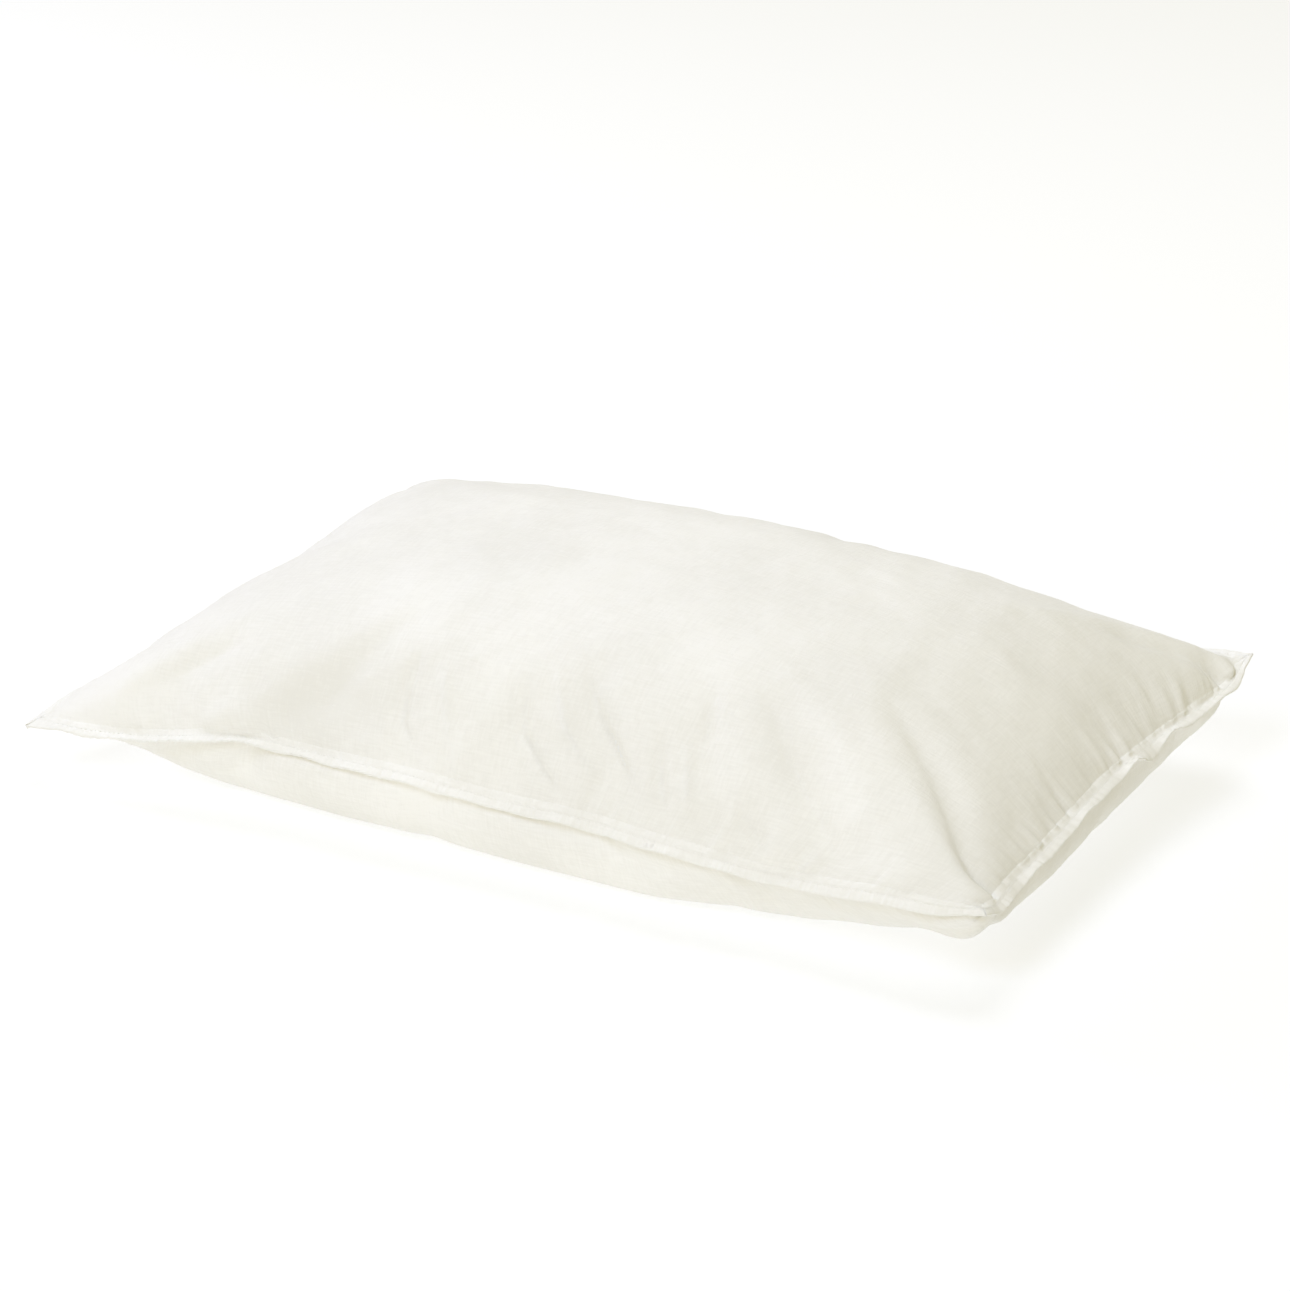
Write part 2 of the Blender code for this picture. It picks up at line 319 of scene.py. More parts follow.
def share_groups(case, held):
    """Vertex weights: where the filling presses, and how firmly each point keeps to the plump form."""
    press = held.vertex_groups.new(name="press")
    pin = held.vertex_groups.new(name="pin")
    for index, (u, v, _, side) in enumerate(case.places):
        weight = 0.0
        if index < case.panel_count:
            along, across = (1 - abs(u)) * FLAT_LENGTH / 2, (1 - abs(v)) * FLAT_WIDTH / 2
            corner = min(1.0, max(0.0, (math.hypot(along, across) - 0.02) / 0.07))
            weight = corner * (0.3 + 0.7 * smooth(min(along, across) / 0.10))
            nearness = fold_at(u, v)[1] if side > 0 else 0.0
            pin.add([index], CLOTH_HOLD + (FOLD_HOLD - CLOTH_HOLD) * nearness, "REPLACE")
        press.add([index], weight, "REPLACE")
    for index in case.rims[0]:
        pin.add([int(index)], SEAM_HOLD, "REPLACE")


def level_square(name, half):
    mesh = bpy.data.meshes.new(name)
    corners = [(-half, -half, 0), (half, -half, 0), (half, half, 0), (-half, half, 0)]
    mesh.from_pydata(corners, [], [(0, 1, 2, 3)])
    made = bpy.data.objects.new(name, mesh)
    bpy.context.scene.collection.objects.link(made)
    return made


def bed_under_the_cloth():
    bed = level_square("bed", 1)
    bed.modifiers.new("Collision", "COLLISION")
    bed.collision.thickness_outer = 0.001
    return bed


def simulate(case):
    """Fills the flat case, and returns where each of its points comes to rest."""
    mesh = bpy.data.meshes.new("filled_case")
    mesh.from_pydata([flat_point(*p) for p in case.places], [], case.faces)
    held = bpy.data.objects.new("filled_case", mesh)
    bpy.context.scene.collection.objects.link(held)
    held.shape_key_add(name="flat")
    plump = held.shape_key_add(name="plump")
    plump.data.foreach_set("co", np.array([plump_point(*p) for p in case.places]).ravel())
    for value, when in ((0.0, 1), (1.0, SWELL_FRAMES)):
        plump.value = value
        plump.keyframe_insert("value", frame=when)
    share_groups(case, held)
    bed = bed_under_the_cloth()
    cloth = held.modifiers.new("Cloth", "CLOTH")
    for name, value in CLOTH_SETTINGS.items():
        setattr(cloth.settings, name, value)
    cloth.settings.effector_weights.gravity = 0.0
    cloth.collision_settings.use_self_collision = False
    cloth.collision_settings.distance_min = 0.001
    cloth.point_cache.frame_start, cloth.point_cache.frame_end = 1, FRAMES
    for when in range(1, FRAMES + 1):
        bpy.context.scene.frame_set(when)
    filled = held.evaluated_get(bpy.context.evaluated_depsgraph_get()).to_mesh()
    rest = np.empty(len(filled.vertices) * 3)
    filled.vertices.foreach_get("co", rest)
    for used in (held, bed):
        bpy.data.objects.remove(used)
    bpy.context.scene.frame_set(1)
    return rest.reshape(-1, 3)


# ---------------------------------------------------------------- reading between the simulated points


def between(values, at):
    """Reads values, which are given at 0, 1, 2 and so on, at the parameters at, on a smooth curve."""
    last = len(values) - 1
    low = np.clip(np.floor(at).astype(int), 0, last - 1)
    t = (at - low).reshape((-1,) + (1,) * (values.ndim - 1))
    before = np.where((low > 0).reshape(t.shape), values[low - 1], 2 * values[low] - values[low + 1])
    beyond = np.minimum(low + 2, last)
    after = np.where(
        (low + 2 <= last).reshape(t.shape), values[beyond], 2 * values[low + 1] - values[low]
    )
    a, b = values[low], values[low + 1]
    return 0.5 * (
        2 * a
        + (b - before) * t
        + (2 * before - 5 * a + 4 * b - after) * t**2
        + (3 * a - before - 3 * b + after) * t**3
    )


def at_lines(grid, us, vs):
    """A grid of points read at other lines u and v."""
    along = between(grid, (us + 1) / 2 * (grid.shape[0] - 1))
    across = between(along.swapaxes(0, 1), (vs + 1) / 2 * (grid.shape[1] - 1))
    return across.swapaxes(0, 1)


def blurred(values, axis, times):
    """Neighbours averaged along an axis. The ends stay."""
    values = values.swapaxes(0, axis).copy()
    for _ in range(times):
        values[1:-1] = (values[:-2] + 2 * values[1:-1] + values[2:]) / 4
    return values.swapaxes(0, axis)


def unit(vectors):
    return vectors / np.maximum(np.linalg.norm(vectors, axis=-1, keepdims=True), 1e-12)


def outward(grid, side):
    """The normals of a grid of points, pointing out of the pillow."""
    return unit(np.cross(np.gradient(grid, axis=0), np.gradient(grid, axis=1))) * side


# ---------------------------------------------------------------- meshes


def add_object(node, vertices, faces, slot, uvs):
    """A piece that stands for one CAD node, with the flat cloth's metres as its UVs."""
    name = f"soft_{node}"
    mesh = bpy.data.meshes.new(name)
    mesh.from_pydata(np.asarray(vertices, float).tolist(), [], [list(map(int, f)) for f in faces])
    layer = mesh.uv_layers.new(name="flat_cloth")
    corners = np.empty(len(mesh.loops), int)
    mesh.loops.foreach_get("vertex_index", corners)
    layer.data.foreach_set("uv", np.asarray(uvs, float)[corners].ravel())
    mesh.calc_loop_triangles()
    triangles = np.empty(len(mesh.loop_triangles) * 3, int)
    mesh.loop_triangles.foreach_get("vertices", triangles)
    a, b, c = np.asarray(vertices, float)[triangles].reshape(-1, 3, 3).swapaxes(0, 1)
    if (np.cross(a, b) * c).sum() < 0:
        mesh.flip_normals()
    mesh.shade_smooth()
    mesh.update()
    piece = bpy.data.objects.new(name, mesh)
    bpy.context.scene.collection.objects.link(piece)
    piece.data.materials.append(MATERIALS[slot])
    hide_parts(node)
    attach(piece, "root")
    return piece


def grid_faces(indices, flip):
    """The quads of a grid of vertex indices."""
    a, b, c, d = indices[:-1, :-1], indices[1:, :-1], indices[1:, 1:], indices[:-1, 1:]
    quads = np.stack([a, b, c, d], -1).reshape(-1, 4)
    return quads[:, ::-1] if flip else quads


def edge_ring(grid):
    """What lies along a grid's edge, in the order of ring_lines."""
    return np.concatenate([grid[:-1, 0], grid[-1, :-1], grid[:0:-1, -1], grid[0, :0:-1]])


def shell(node, outer, inner, side, flat, slot):
    """A closed sheet of cloth from its outer and inner grids of points."""
    count = outer.shape[0] * outer.shape[1]
    first = np.arange(count).reshape(outer.shape[:2])
    second = first + count
    ring_a, ring_b = edge_ring(first), edge_ring(second)
    wall = np.stack([ring_a, ring_b, np.roll(ring_b, -1), np.roll(ring_a, -1)], -1)
    faces = np.concatenate(
        [grid_faces(first, side < 0), grid_faces(second, side > 0), wall if side > 0 else wall[:, ::-1]]
    )
    points = np.concatenate([outer.reshape(-1, 3), inner.reshape(-1, 3)])
    uvs = np.concatenate([flat.reshape(-1, 2)] * 2)
    return add_object(node, points, faces, slot, uvs)


def flat_metres(us, vs):
    return np.stack(np.meshgrid(us * FLAT_LENGTH / 2, vs * FLAT_WIDTH / 2, indexing="ij"), -1)


def swept(node, sections, flat, slot):
    """A solid through closed sections, shape (stations, points round, 3), with caps at both ends."""
    stations, round_it = sections.shape[:2]
    index = np.arange(stations * round_it).reshape(stations, round_it)
    a, b = index[:-1], index[1:]
    quads = np.stack([a, b, np.roll(b, -1, 1), np.roll(a, -1, 1)], -1).reshape(-1, 4)
    faces = quads.tolist() + [index[0].tolist(), index[-1, ::-1].tolist()]
    return add_object(node, sections.reshape(-1, 3), faces, slot, flat.reshape(-1, 2))


# ---------------------------------------------------------------- the pieces


class Case:
    """The filled case: its panels as grids of points, and the four paths of its seam."""

    def __init__(self):
        flat = FlatCase()
        rest = simulate(flat)
        rest[:, 2] -= rest[:, 2].min()
        rest += np.array([seam_move(u, v, side) for u, v, _, side in flat.places])
        rest[:, 2] = np.maximum(rest[:, 2], 0.0)
        self.top = evened(rest[flat.top])
        self.bottom = evened(rest[flat.bottom])
        self.even_the_seam(flat)
        front, closed_end, back, opening = (
            self.top[:, 0], self.top[-1, :], self.top[::-1, -1], self.top[0, ::-1]
        )
        self.paths = edge_paths(dict(front=front, closed_end=closed_end, back=back, opening=opening))

    def even_the_seam(self, flat):
        """Takes the small ripples out of the seam line, and lets the cloth beside it follow."""
        from_side = np.exp(-(1 + flat.vs) * FLAT_WIDTH / 2 / SEAM_FOLLOW)[None, :, None]
        from_end = np.exp(-(1 + flat.us) * FLAT_LENGTH / 2 / SEAM_FOLLOW)[:, None, None]
        front, back = self.top[:, 0], self.top[:, -1]
        opening, closed_end = self.top[0], self.top[-1]
        front, back, opening, closed_end = (
            blurred(line, 0, SEAM_BLUR) - line for line in (front, back, opening, closed_end)
        )
        for grid in (self.top, self.bottom):
            grid += front[:, None] * from_side + back[:, None] * from_side[:, ::-1]
            grid += opening[None] * from_end + closed_end[None] * from_end[::-1]

    def panel(self, side, us, vs):
        return at_lines(self.top if side > 0 else self.bottom, us, vs)

    def skin(self, side, us, vs):
        """A panel's outer face with its folds, creases, puckers and crumples, and its plain normals."""
        face = self.panel(side, us, vs)
        relief = crumple(face, SEED + side) + seam_puckers(us, vs, SEED + 10 * side + 20)
        relief += long_creases(us, vs, SEED + 30 + side) * (1.0 if side > 0 else CREASE_SHARE_BELOW)
        relief += fold_lines(us, vs, FOLDS if side > 0 else FOLDS_BELOW)
        fade = np.clip((1 - np.abs(us[:, None])) / 0.004, 0, 1)
        fade = fade * np.clip((1 - np.abs(vs[None, :])) / 0.006, 0, 1)
        fade *= np.clip((face[..., 2] - 0.001) / 0.012, 0, 1)
        normals = outward(face, side)
        face = face + normals * (relief * fade)[..., None]
        face[..., 2] = np.maximum(face[..., 2], 0.0)
        return face, normals

    def shoulder(self, edge, side, count, inset, height):
        """Points over a panel, inset from an edge's seam line, in step with the edge's path."""
        along = np.linspace(-1, 1, count)
        rows = np.array([-0.002, 0, 0.002])
        if edge in ("front", "back"):
            rows = rows + (1 - 2 * inset / FLAT_WIDTH) * (-1 if edge == "front" else 1)
            face, normals = (grid[:, 1] for grid in self.skin(side, along, rows))
        else:
            rows = rows + (1 - 2 * inset / FLAT_LENGTH) * (1 if edge == "closed_end" else -1)
            face, normals = (grid[1] for grid in self.skin(side, rows, along))
        points = face + normals * height
        return points if edge in ("front", "closed_end") else points[::-1]

    def insert_layer(self, side, us, vs, depth):
        """The insert's skin, or a layer this deep in it: the case's inside, closed at the insert's rim."""
        inner_us = us * (INSERT_LENGTH_SHARE - depth / HALF_LENGTH)
        inner_vs = vs * (INSERT_WIDTH_SHARE - depth / HALF_WIDTH)
        above, below = (self.skin(face, inner_us, inner_vs)[0] for face in (1, -1))
        middle = (above + below) / 2
        closing = ((1 - us[:, None] ** 12) * (1 - vs[None, :] ** 12)) ** 0.5
        share = closing * (INSERT_THICKNESS_SHARE - depth / 0.06)
        return middle + ((above if side > 0 else below) - middle) * share[..., None]


def evened(grid):
    """The grid without the last unevenness from cell to cell. The seam line stays."""
    inside = blurred(blurred(grid, 0, 2), 1, 2)
    result = grid.copy()
    result[1:-1, 1:-1] = inside[1:-1, 1:-1]
    return result


def edge_paths(sides):
    """Each side's seam line at even steps, the way out to its strip's edge, the way up, and the length."""
    made = {}
    for name, seam in sides.items():
        length = np.linalg.norm(np.diff(seam, axis=0), axis=1).sum()
        count = round(length / PATH_STEP)
        line = between(seam, np.linspace(0, len(seam) - 1, count + 1))
        s = np.linspace(0, length, count + 1)
        ahead = unit(np.gradient(blurred(line, 0, 30), axis=0))
        out = unit(np.cross(ahead, (0.0, 0.0, 1.0)))
        angles = np.interp(s / length, np.linspace(0, 1, len(EDGES[name].angles)), EDGES[name].angles)
        angles = np.radians(angles)[:, None]
        to_start = np.clip(1 - s / SEAM_WIDTH, 0, 1)[:, None]
        to_end = np.clip(1 - (length - s) / SEAM_WIDTH, 0, 1)[:, None]
        slope = np.array((0.0, 0.0, 1.0)) * np.sin(angles)
        across = SEAM_WIDTH * (out * np.cos(angles) + slope + ahead * (to_end - to_start))
        made[name] = [line, across, ahead, s]
    names = list(made)
    for name, after in zip(names, names[1:] + names[:1]):
        first, second = made[name], made[after]
        corner = (first[1][-1] + second[1][0]) / 2
        for path, place, end in ((first, first[3][-1] - first[3], -1), (second, second[3], 0)):
            share = np.clip(1 - place / (2 * SEAM_WIDTH), 0, 1)[:, None]
            path[1] = path[1] + (corner - path[1][end]) * share
    for name, path in made.items():
        for place, width in zip((path[3], path[3][-1] - path[3]), EDGES[name].corners):
            path[1] = path[1] * (1 - (1 - width) * np.exp(-((place / CORNER_REACH) ** 2)))[:, None]
        path[2] = unit(np.cross(path[1], path[2]))
        path[2] *= np.sign(path[2][:, 2:3])
    return made


def wave(s, seed, length, count):
    """An irregular wave along s in metres, mostly between -1 and 1, out of waves about this long."""
    rng = np.random.default_rng(seed)
    total = np.zeros_like(s)
    for _ in range(count):
        total = total + np.sin(2 * math.pi * (s / (length * rng.uniform(0.55, 1.5)) + rng.random()))
    return total / count**0.5


def seam_puckers(us, vs, seed):
    """Fine creases that run in from the seams, square to them, and fade out."""
    u, v = np.meshgrid(us, vs, indexing="ij")
    x, y = u * FLAT_LENGTH / 2, v * FLAT_WIDTH / 2
    to_end, to_side = FLAT_LENGTH / 2 - np.abs(x), FLAT_WIDTH / 2 - np.abs(y)
    total = np.zeros_like(u)
    for along, gap, where, offset in ((x, to_side, v, 0), (y, to_end, u, 2)):
        for sign in (-1, 1):
            fade = np.exp(-gap / PUCKER_REACH) * (1 - np.exp(-gap / 0.002)) * (where * sign > 0)
            total += fade * wave(along, seed + offset + sign, PUCKER_LENGTH, 6)
    return total * PUCKER_DEPTH


def long_creases(us, vs, seed):
    """Thin straight creases, longer than the puckers, that stand on the sewn-up end's seam."""
    rng = np.random.default_rng(seed)
    u, v = np.meshgrid(us, vs, indexing="ij")
    gap = (1 - u) * FLAT_LENGTH / 2
    y = v * FLAT_WIDTH / 2
    total = np.zeros_like(u)
    for _ in range(CREASE_COUNT):
        place = rng.uniform(-0.85, 0.85) * FLAT_WIDTH / 2
        lean = rng.uniform(-0.25, 0.25)
        length = rng.uniform(0.022, 0.060)
        width = rng.uniform(0.0034, 0.0052)
        depth = rng.uniform(0.4, 1.0) * rng.choice([-1.0, 1.0])
        across = (y - place - lean * gap) / width
        total += depth * np.exp(-(across**2)) * np.clip(1 - gap / length, 0, 1) ** 0.7
    return total * CREASE_DEPTH


def fold_lines(us, vs, folds):
    """Sharp crests and valleys along the folds' lines, narrower than the simulated folds."""
    scale = np.array((FLAT_LENGTH / 2, FLAT_WIDTH / 2))
    here = np.stack(np.meshgrid(us, vs, indexing="ij"), -1) * scale
    total = np.zeros(here.shape[:2])
    for fold in folds:
        corners = [np.array(corner) * scale for corner in fold.path]
        nearest, along = np.full(total.shape, 1.0), np.zeros(total.shape)
        for k, (start, end) in enumerate(zip(corners, corners[1:])):
            share = np.clip((here - start) @ (end - start) / ((end - start) @ (end - start)), 0, 1)
            gap = np.linalg.norm(here - start - share[..., None] * (end - start), axis=-1)
            along = np.where(gap < nearest, (k + share) / (len(corners) - 1), along)
            nearest = np.minimum(gap, nearest)
        width = fold.width * 0.5
        crest = fold.height * np.exp(-((nearest / width) ** 2)) * (0.2 + 0.8 * np.sin(math.pi * along))
        total += crest * min(1.0, 0.007 / fold.width) ** 1.5
    return total * FOLD_CREST


def crumple(points, seed):
    """The slight unevenness of washed cotton, as many small waves in every direction."""
    rng = np.random.default_rng(seed)
    total = np.zeros(points.shape[:-1])
    for _ in range(40):
        direction = rng.normal(size=3)
        direction /= np.linalg.norm(direction)
        length = rng.uniform(0.012, 0.045)
        total += length * np.sin(points @ direction * 2 * math.pi / length + rng.uniform(0, 2 * math.pi))
    return total * CRUMPLE_DEPTH / 0.028 / 40**0.5


def make_panels(case):
    """The case's two panels."""
    us = np.linspace(-1, 1, round(FLAT_LENGTH / 0.0030) + 1)
    vs = np.linspace(-1, 1, round(FLAT_WIDTH / 0.0026) + 1)
    made = {}
    for name, side in (("case_top_panel", 1), ("case_bottom_panel", -1)):
        face = case.skin(side, us, vs)[0]
        inner = face - outward(face, side) * CLOTH
        made[name] = shell(name, face, inner, side, flat_metres(us, vs), "case_cotton")
    return made


def edge_wave(name, s):
    """How the strip's outer edge rises and falls along the seam. The strips meet level at the corners."""
    fade = np.clip(np.minimum(s, s[-1] - s) / 0.03, 0, 1)
    return EDGES[name].wave * wave(s, SEED + len(name), 0.055, 4) * fade


def strip(case, edge, part, low, high, lift, joined=(1, -1)):
    """A flat strip of folded cloth along one edge of the case, from low to high about its middle layer. A
    panel's cloth runs into its joined faces over a shoulder."""
    line, across, up, s = case.paths[edge]
    rise = edge_wave(edge, s)
    pucker = wave(s, SEED + len(edge) + len(part), 0.007, 5) * 0.00028
    pinch = np.cos(2 * math.pi * s / STITCH_PITCH) * 0.00012
    middle = (high + low) / 2
    grip = np.clip(np.minimum(s, s[-1] - s) / 0.008, 0, 1)[:, None] * 0.94 + 0.06
    rows, flat = [], []
    for face, level in ((1, high), (-1, low)):
        side_rows = []
        for share in (0.12, 0.21, 0.30, 0.45, 0.62, 0.78, 0.90, 0.97, 1.0):
            groove = 1 - 0.4 * math.exp(-(((share - STITCH_SHARE) / 0.07) ** 2))
            edge_turn = math.sqrt(max(0.0, 1 - (max(0.0, share - 0.9) / 0.1) ** 2))
            height = middle + (level * groove - middle) * edge_turn + lift * share**2
            ripple = pucker * share**0.7 + face * pinch * math.exp(-(((share - STITCH_SHARE) / 0.3) ** 2))
            side_rows.append(line + across * share + up * (height + ripple + rise * share**1.5)[:, None])
        if face in joined:
            shoulder = line + (case.shoulder(edge, face, len(s), SHOULDER, 0.0002) - line) * grip
            root = line + (case.shoulder(edge, face, len(s), SHOULDER + 0.0014, -0.0012) - line) * grip
            turn = [
                (1 - t) ** 2 * shoulder + 2 * t * (1 - t) * (line + up * level) + t * t * side_rows[0]
                for t in (0.0, 0.25, 0.5, 0.75)
            ]
            side_rows = [root] + turn + side_rows
        else:
            side_rows = [line - across * 0.06 + up * level * 0.06] + side_rows
        rows += side_rows[::face]
        lengths = np.linspace(-0.5 if face in joined else 0.0, 1.0, len(side_rows))[::face]
        flat += [np.stack([s, np.full_like(s, share * SEAM_WIDTH + 0.02 * face)], -1) for share in lengths]
    return swept(f"case_{edge}_{part}", np.stack(rows, 1), np.stack(flat, 1), "case_seam_cotton")


def stitches(name, places, forward, up, length, radius):
    """Separate stitches, each a short thread that rises from the cloth and dips back into it."""
    around = np.linspace(0, 2 * math.pi, 7)[:-1]
    along = np.array([-1.0, -0.75, -0.3, 0.3, 0.75, 1.0])
    sizes = np.array([0.35, 0.85, 1.0, 1.0, 0.85, 0.35])
    vertices, faces, flat = [], [], []
    side = unit(np.cross(up, forward))
    ring = np.arange(len(around))
    for place, ahead, above, beside in zip(places, forward, up, side):
        base = len(vertices)
        for k, (share, size) in enumerate(zip(along, sizes)):
            centre = place + ahead * share * length / 2 + above * radius * (0.9 - 1.5 * share**4)
            for angle in around:
                offset = beside * math.cos(angle) + above * math.sin(angle)
                vertices.append(centre + offset * radius * size)
                flat.append((share * length / 2, angle * radius))
            if k:
                low, high = base + (k - 1) * len(ring) + ring, base + k * len(ring) + ring
                faces += np.stack([low, np.roll(low, -1), np.roll(high, -1), high], -1).tolist()
        faces.append((base + ring)[::-1].tolist())
        faces.append((base + (len(along) - 1) * len(ring) + ring).tolist())
    return add_object(name, vertices, faces, "sewing_thread", flat)


def stitch_stations(s, pitch):
    """Where on an edge's path its stitches lie, from corner to corner, in steps of the path."""
    count = round((s[-1] - 2 * SEAM_WIDTH) / pitch)
    return (SEAM_WIDTH + (np.arange(count) + 0.5) * (s[-1] - 2 * SEAM_WIDTH) / count) / s[-1] * (len(s) - 1)


def strip_point(case, edge, share, height, at):
    """Points on an edge's strip, this share of its width out and this high, at the given path stations."""
    line, across, up, s = case.paths[edge]
    rise = edge_wave(edge, s)[:, None] * share**1.5
    return between(line + across * share + up * (height + rise), at)


def seam_stitches(case, edge):
    """The row of stitches along an edge's strip, on both of its faces, half a stitch apart."""
    line, _, up, s = case.paths[edge]
    height = SEAM_THICKNESS / 2 * 0.62
    first = stitch_stations(s, STITCH_PITCH)
    places, ways, ups = [], [], []
    for face, shift in ((1, 0.0), (-1, 0.5)):
        at = first + shift * STITCH_PITCH / s[-1] * (len(s) - 1)
        places.append(strip_point(case, edge, STITCH_SHARE, face * height, at))
        ways.append(unit(between(np.gradient(line, axis=0), at)))
        ups.append(unit(between(up, at)) * face)
    places, ways, ups = (np.concatenate(rows) for rows in (places, ways, ups))
    return stitches(f"case_{edge}_stitching", places, ways, ups, STITCH_PITCH * 0.8, THREAD)


def make_edges(case):
    """The sewn strips and their stitches, the backtack, and the two lips of the open end."""
    half = SEAM_THICKNESS / 2
    made = []
    for edge in ("front", "closed_end", "back"):
        made.append(strip(case, edge, "seam", -half, half, 0.0))
        made.append(seam_stitches(case, edge))
    made.append(strip(case, "opening", "hem", -0.0001, LIP_HEIGHT, LIP_LIFT, (1,)))
    made.append(lip_stitches(case))
    made.append(strip(case, "opening", "fold", -0.0014, -0.0002, -0.0006, (-1,)))
    made.append(backtack(case))
    return made


def lip_stitches(case):
    """The hem's stitches at the open end."""
    line, _, up, s = case.paths["opening"]
    at = stitch_stations(s, STITCH_PITCH)
    share = 0.7
    places = strip_point(case, "opening", share, LIP_HEIGHT + LIP_LIFT * share**2, at)
    ways = unit(between(np.gradient(line, axis=0), at))
    ups = unit(between(up, at))
    return stitches("case_opening_stitching", places, ways, ups, LIP_STITCH, THREAD)


def backtack(case):
    """A short bar of close stitches across the front strip, where its sewing was finished."""
    low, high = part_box("case_seam_backtack")
    line, across, up, s = case.paths["front"]
    start, end = np.interp([low.x, high.x], line[:, 0], np.arange(len(s)))
    at = np.linspace(start, end, 15)
    places = strip_point(case, "front", 0.62, SEAM_THICKNESS / 2 - 0.0002, at)
    slant = unit(unit(between(across, at)) + 0.25 * unit(between(np.gradient(line, axis=0), at)))
    ups = unit(between(up, at))
    return stitches("case_seam_backtack", places, slant, ups, 0.0046, THREAD * 1.2)


def under_panel(case, side, us, vs, depth, thickness, node, slot):
    """A piece of cloth that lies this deep under a panel of the case."""
    face, normals = case.skin(side, us, vs)
    outer, inner = face - normals * depth, face - normals * (depth + thickness)
    return shell(node, outer, inner, side, flat_metres(us, vs), slot)


def make_flap(case):
    """The flap tucked in over the insert at the open end, with its turned hem and the hem's stitches."""
    reach = {}
    for name in ("case_tuck_flap", "case_flap_hem"):
        low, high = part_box(name)
        reach[name] = (low.x / (HALF_LENGTH - SEAM_WIDTH), high.x / (HALF_LENGTH - SEAM_WIDTH))
    vs = np.linspace(-0.985, 0.985, 150)
    flap_end = reach["case_tuck_flap"][1]
    hem_start, hem_end = flap_end + 0.001, reach["case_flap_hem"][1]
    depth = CLOTH + 0.0006
    flap_us, hem_us = np.linspace(-0.995, flap_end, 34), np.linspace(hem_start, hem_end, 10)
    flap = under_panel(case, 1, flap_us, vs, depth, 0.0006, "case_tuck_flap", "case_cotton")
    hem = under_panel(case, 1, hem_us, vs, depth - 0.0002, 0.0012, "case_flap_hem", "case_cotton")
    middle = np.array([(hem_start + hem_end) / 2 - 0.002, (hem_start + hem_end) / 2 + 0.002])
    stations = np.linspace(-0.97, 0.97, round(0.97 * FLAT_WIDTH / STITCH_PITCH))
    face, normals = case.skin(1, middle, stations)
    normal = normals[0]
    places = face[0] - normal * (depth + 0.0011)
    ways = unit(np.gradient(places, axis=0))
    row = stitches("case_flap_stitching", places, ways, -normal, LIP_STITCH, THREAD)


def make_insert(case):
    """The cushion inside: its two covers, the piping round them, the closing stitches and its label."""
    us = np.linspace(-1, 1, 181)
    vs = np.linspace(-1, 1, 121)
    for name, side in (("insert_top_ticking", 1), ("insert_bottom_ticking", -1)):
        face = case.insert_layer(side, us, vs, 0.0)
        inner = face - outward(face, side) * CLOTH
        shell(name, face, inner, side, flat_metres(us, vs), "ticking")
    rim = edge_ring(case.insert_layer(1, us, vs, 0.0))
    piping = round_cord("insert_piping", rim, 0.0018, 10, "piping")
    fill(case)
    closing_v = np.linspace(-0.42, 0.42, 62)
    face = case.insert_layer(1, np.array([0.965, 0.975]), closing_v, 0.0)
    normal = outward(face, 1)[0]
    ways = unit(np.gradient(face[0], axis=0) + 0.004 * (face[1] - face[0]))
    row = stitches("insert_closing_stitching", face[0], ways, normal, 0.0022, THREAD)
    label_us, label_vs = np.linspace(0.86, 0.965, 24), np.linspace(0.47, 0.62, 22)
    face = case.insert_layer(1, label_us, label_vs, 0.0)
    normals = outward(face, 1)
    outer, inner = face + normals * 0.0007, face + normals * 0.0003
    label = shell("insert_care_label", outer, inner, 1, flat_metres(label_us, label_vs), "satin_label")


def fill(case):
    """The fibre filling: everything inside the covers, with the lumps of loose wadding."""
    us, vs = np.linspace(-1, 1, 121), np.linspace(-1, 1, 81)
    above, below = (case.insert_layer(side, us, vs, FILL_DEPTH) for side in (1, -1))
    shape = above.shape[:2]
    count = shape[0] * shape[1]
    upper = np.arange(count).reshape(shape)
    lower = upper + count
    lower[0], lower[-1], lower[:, 0], lower[:, -1] = upper[0], upper[-1], upper[:, 0], upper[:, -1]
    inside = np.zeros(shape, bool)
    inside[1:-1, 1:-1] = True
    kept = np.concatenate([np.ones(count, bool), inside.ravel()])
    number = np.cumsum(kept) - 1
    points = np.concatenate([above.reshape(-1, 3), below.reshape(-1, 3)])[kept]
    faces = number[np.concatenate([grid_faces(upper, False), grid_faces(lower, True)])]
    flat = np.concatenate([flat_metres(us, vs).reshape(-1, 2)] * 2)[kept]
    piece = add_object("insert_fibre_fill", points, faces, "fibre_fill", flat)


def round_cord(node, ring, radius, sides, slot):
    """A round cord along a closed line of points."""
    forward = unit(np.roll(ring, -1, 0) - np.roll(ring, 1, 0))
    beside = unit(np.cross(forward, (0.0, 0.0, 1.0)))
    above = np.cross(beside, forward)
    around = np.linspace(0, 2 * math.pi, sides + 1)[:-1]
    offsets = [beside * math.cos(a) + above * math.sin(a) for a in around]
    sections = np.stack([ring + radius * offset for offset in offsets], 1)
    index = np.arange(len(ring) * sides).reshape(len(ring), sides)
    after = np.roll(index, -1, 0)
    faces = np.stack([index, after, np.roll(after, -1, 1), np.roll(index, -1, 1)], -1).reshape(-1, 4)
    length = np.cumsum(np.linalg.norm(ring - np.roll(ring, 1, 0), axis=1))
    flat = np.stack(np.meshgrid(length, around * radius, indexing="ij"), -1)
    return add_object(node, sections.reshape(-1, 3), faces, slot, flat.reshape(-1, 2))


